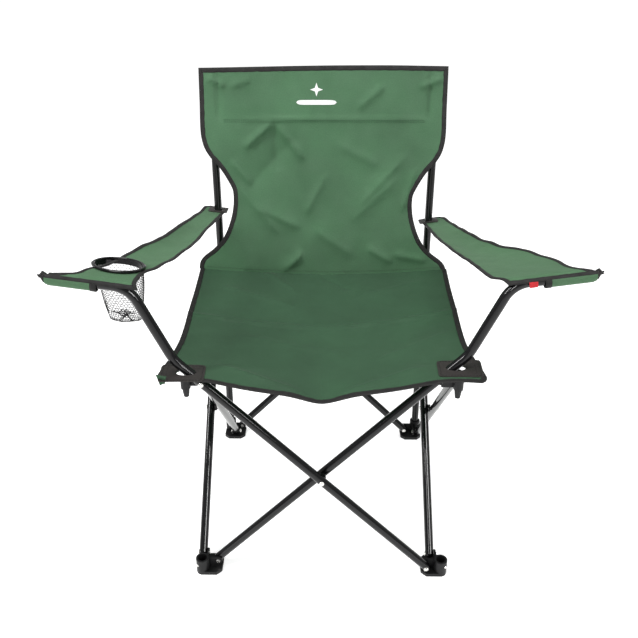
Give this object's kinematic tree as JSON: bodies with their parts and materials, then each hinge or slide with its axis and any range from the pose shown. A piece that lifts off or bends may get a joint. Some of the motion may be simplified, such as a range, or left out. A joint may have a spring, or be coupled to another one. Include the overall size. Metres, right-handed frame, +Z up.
{
  "type": "folding camp chair",
  "caption": "Folding sling camp chair on crossed round tubes, with a waisted high back, bent-tube armrests and a net cup holder, that gathers into a slim bundle.",
  "frame": {"origin": "on the floor at the middle of the open chair's width and depth", "axes": "+Z up, the chair faces -Y, and +X is the sitter's left"},
  "size_m": [0.8354, 0.5671, 0.8206],
  "materials": {
    "tube": "gloss black powder coat on round steel tube",
    "plastic": "moulded black plastic, low sheen",
    "rivet": "bright domed rivet",
    "seat_cloth": "coated plain-weave polyester, green",
    "back_cloth": "coated plain-weave polyester, green",
    "arm_cloth": "coated plain-weave polyester, green",
    "patch": "dark brown-grey coated reinforcing cloth with stitching",
    "ring": "glossy black moulded ring",
    "net": "knitted black net",
    "tag": "woven red tag"
  },
  "bodies": {
    "rear_left_foot": {"foot_rear_left": "plastic", "foot_rivets_rear_left": "rivet"},
    "front_left_foot": {"foot_front_left": "plastic", "foot_rivets_front_left": "rivet"},
    "rear_right_foot": {"foot_rear_right": "plastic", "foot_rivets_rear_right": "rivet"},
    "front_right_foot": {"foot_front_right": "plastic", "foot_rivets_front_right": "rivet"},
    "front_right_hub": {"hub_front_right": "plastic", "hub_rivets_front_right": "rivet"},
    "front_left_hub": {"hub_front_left": "plastic", "hub_rivets_front_left": "rivet"},
    "rear_left_hub": {"hub_rear_left": "plastic", "hub_rivets_rear_left": "rivet"},
    "rear_right_hub": {"hub_rear_right": "plastic", "hub_rivets_rear_right": "rivet"},
    "front_outer_leg": {"leg_front_outer": "tube", "arm_plug_right": "plastic"},
    "left_outer_leg": {"leg_left_outer": "tube"},
    "rear_outer_leg": {"leg_rear_outer": "tube"},
    "right_outer_leg": {"leg_right_outer": "tube"},
    "front_inner_leg": {"leg_front_inner": "tube", "arm_plug_left": "plastic", "spacer_front": "plastic", "cross_rivet_front": "rivet"},
    "left_inner_leg": {"leg_left_inner": "tube", "spacer_left": "plastic", "cross_rivet_left": "rivet"},
    "rear_inner_leg": {"leg_rear_inner": "tube", "spacer_rear": "plastic", "cross_rivet_rear": "rivet"},
    "right_inner_leg": {"leg_right_inner": "tube", "spacer_right": "plastic", "cross_rivet_right": "rivet"},
    "left_upright": {"upright_left": "tube", "upright_cap_left": "plastic", "back_panel": "back_cloth", "back_pocket_left": "back_cloth", "back_pocket_right": "back_cloth"},
    "right_upright": {"upright_right": "tube", "upright_cap_right": "plastic"},
    "left_seat": {"seat_left": "seat_cloth", "seat_patch_left": "patch"},
    "right_seat": {"seat_right": "seat_cloth", "seat_patch_right": "patch", "corner_flap": "seat_cloth"},
    "left_armrest_front": {"armrest_front_left": "arm_cloth", "care_tag": "tag"},
    "left_armrest_rear": {"armrest_rear_left": "arm_cloth", "armrest_plate_left": "patch"},
    "right_armrest_front": {"armrest_front_right": "arm_cloth", "cup_ring": "ring", "cup_net": "net"},
    "right_armrest_rear": {"armrest_rear_right": "arm_cloth", "armrest_plate_right": "patch"}
  },
  "joints": [
    {"name": "fold", "type": "hinge", "parent": "rear_left_foot", "child": "rear_inner_leg", "pos_m": [0.195, 0.17266, 0.018], "axis": [0, 1, 0], "range_deg": [0, 41.5]},
    {"name": "left_outer_leg_pivot", "type": "hinge", "parent": "rear_left_foot", "child": "left_outer_leg", "pos_m": [0.226, 0.16166, 0.018], "axis": [1, 0, 0], "range_deg": [-41.55, 0]},
    {"name": "rear_cross_pivot", "type": "hinge", "parent": "rear_inner_leg", "child": "rear_outer_leg", "pos_m": [0, 0.18266, 0.219], "axis": [0, 1, 0], "range_deg": [-83.05, 0]},
    {"name": "rear_right_hub_pivot", "type": "hinge", "parent": "rear_inner_leg", "child": "rear_right_hub", "pos_m": [-0.195, 0.17266, 0.42], "axis": [0, 1, 0], "range_deg": [-41.55, 0]},
    {"name": "rear_left_hub_pivot", "type": "hinge", "parent": "rear_outer_leg", "child": "rear_left_hub", "pos_m": [0.195, 0.19266, 0.42], "axis": [0, 1, 0], "range_deg": [0, 41.55]},
    {"name": "rear_right_foot_pivot", "type": "hinge", "parent": "rear_outer_leg", "child": "rear_right_foot", "pos_m": [-0.195, 0.19266, 0.018], "axis": [0, 1, 0], "range_deg": [0, 41.55]},
    {"name": "front_left_hub_pivot", "type": "hinge", "parent": "left_outer_leg", "child": "front_left_hub", "pos_m": [0.226, -0.22834, 0.42], "axis": [1, 0, 0], "range_deg": [0, 41.55]},
    {"name": "left_cross_pivot", "type": "hinge", "parent": "left_outer_leg", "child": "left_inner_leg", "pos_m": [0.216, -0.03334, 0.219], "axis": [1, 0, 0], "range_deg": [0, 83.05]},
    {"name": "front_left_foot_pivot", "type": "hinge", "parent": "left_inner_leg", "child": "front_left_foot", "pos_m": [0.206, -0.22834, 0.018], "axis": [1, 0, 0], "range_deg": [-41.55, 0]},
    {"name": "right_inner_leg_pivot", "type": "hinge", "parent": "rear_right_foot", "child": "right_inner_leg", "pos_m": [-0.206, 0.16166, 0.018], "axis": [1, 0, 0], "range_deg": [-41.55, 0]},
    {"name": "right_cross_pivot", "type": "hinge", "parent": "right_inner_leg", "child": "right_outer_leg", "pos_m": [-0.216, -0.03334, 0.219], "axis": [1, 0, 0], "range_deg": [0, 83.05]},
    {"name": "front_right_hub_pivot", "type": "hinge", "parent": "right_inner_leg", "child": "front_right_hub", "pos_m": [-0.206, -0.22834, 0.42], "axis": [1, 0, 0], "range_deg": [0, 41.55]},
    {"name": "front_right_foot_pivot", "type": "hinge", "parent": "right_outer_leg", "child": "front_right_foot", "pos_m": [-0.226, -0.22834, 0.018], "axis": [1, 0, 0], "range_deg": [-41.55, 0]},
    {"name": "front_outer_leg_pivot", "type": "hinge", "parent": "front_left_foot", "child": "front_outer_leg", "pos_m": [0.195, -0.25934, 0.018], "axis": [0, 1, 0], "range_deg": [0, 41.55]},
    {"name": "front_cross_pivot", "type": "hinge", "parent": "front_outer_leg", "child": "front_inner_leg", "pos_m": [0, -0.24934, 0.219], "axis": [0, 1, 0], "range_deg": [-83.05, 0]},
    {"name": "left_upright_lean", "type": "hinge", "parent": "rear_left_foot", "child": "left_upright", "pos_m": [0.223, 0.18966, 0.02], "axis": [0.9957, -0.0925, 0], "range_deg": [0, 1.72], "deforming": ["back_panel", "back_pocket_left", "back_pocket_right"]},
    {"name": "right_upright_lean", "type": "hinge", "parent": "rear_right_foot", "child": "right_upright", "pos_m": [-0.223, 0.18966, 0.02], "axis": [0.9957, 0.0925, 0], "range_deg": [0, 1.72]},
    {"name": "left_seat_fold", "type": "hinge", "parent": "front_left_hub", "child": "left_seat", "pos_m": [0.19, -0.22834, 0.438], "axis": [0, 1, 0], "range_deg": [-77.05, 0], "deforming": ["seat_left", "seat_patch_left"]},
    {"name": "right_seat_fold", "type": "hinge", "parent": "front_right_hub", "child": "right_seat", "pos_m": [-0.19, -0.22834, 0.438], "axis": [0, 1, 0], "range_deg": [0, 77.05], "deforming": ["seat_right", "seat_patch_right", "corner_flap"]},
    {"name": "right_armrest_turn", "type": "hinge", "parent": "front_outer_leg", "child": "right_armrest_front", "pos_m": [-0.2925, -0.25934, 0.58822], "axis": [-0.9903, 0, 0.1392], "range_deg": [0, 101.05], "deforming": ["armrest_front_right", "cup_net"]},
    {"name": "left_armrest_turn", "type": "hinge", "parent": "front_inner_leg", "child": "left_armrest_front", "pos_m": [0.2925, -0.23934, 0.58822], "axis": [0.9903, 0, 0.1392], "range_deg": [-81.05, 0], "deforming": ["armrest_front_left", "care_tag"]},
    {"name": "right_armrest_bend", "type": "hinge", "parent": "right_armrest_front", "child": "right_armrest_rear", "pos_m": [-0.28596, -0.05439, 0.57731], "axis": [0.5074, -0.1986, -0.8385], "range_deg": [0, 70.61], "deforming": ["armrest_rear_right", "armrest_plate_right"]},
    {"name": "left_armrest_bend", "type": "hinge", "parent": "left_armrest_front", "child": "left_armrest_rear", "pos_m": [0.28736, -0.03512, 0.56733], "axis": [0.1831, 0.2055, 0.9614], "range_deg": [0, 54.77], "deforming": ["armrest_rear_left", "armrest_plate_left"]}
  ],
  "couplings": [
    {"joint": "left_outer_leg_pivot", "follows": "fold", "ratio": -1},
    {"joint": "rear_cross_pivot", "follows": "fold", "ratio": -2},
    {"joint": "rear_right_hub_pivot", "follows": "fold", "ratio": -1},
    {"joint": "rear_left_hub_pivot", "follows": "fold", "ratio": 1},
    {"joint": "rear_right_foot_pivot", "follows": "fold", "ratio": 1},
    {"joint": "front_left_hub_pivot", "follows": "fold", "ratio": 1},
    {"joint": "left_cross_pivot", "follows": "fold", "ratio": 2},
    {"joint": "front_left_foot_pivot", "follows": "fold", "ratio": -1},
    {"joint": "right_inner_leg_pivot", "follows": "fold", "ratio": -1},
    {"joint": "right_cross_pivot", "follows": "fold", "ratio": 2},
    {"joint": "front_right_hub_pivot", "follows": "fold", "ratio": 1},
    {"joint": "front_right_foot_pivot", "follows": "fold", "ratio": -1},
    {"joint": "front_outer_leg_pivot", "follows": "fold", "ratio": 1},
    {"joint": "front_cross_pivot", "follows": "fold", "ratio": -2},
    {"joint": "left_upright_lean", "follows": "fold", "ratio": 0.040159},
    {"joint": "right_upright_lean", "follows": "fold", "ratio": 0.040159},
    {"joint": "left_seat_fold", "follows": "fold", "ratio": -1.8554},
    {"joint": "right_seat_fold", "follows": "fold", "ratio": 1.8554},
    {"joint": "right_armrest_turn", "follows": "fold", "ratio": 2.4337},
    {"joint": "left_armrest_turn", "follows": "fold", "ratio": -1.9518},
    {"joint": "right_armrest_bend", "follows": "fold", "ratio": 1.7003},
    {"joint": "left_armrest_bend", "follows": "fold", "ratio": 1.3187}
  ]
}
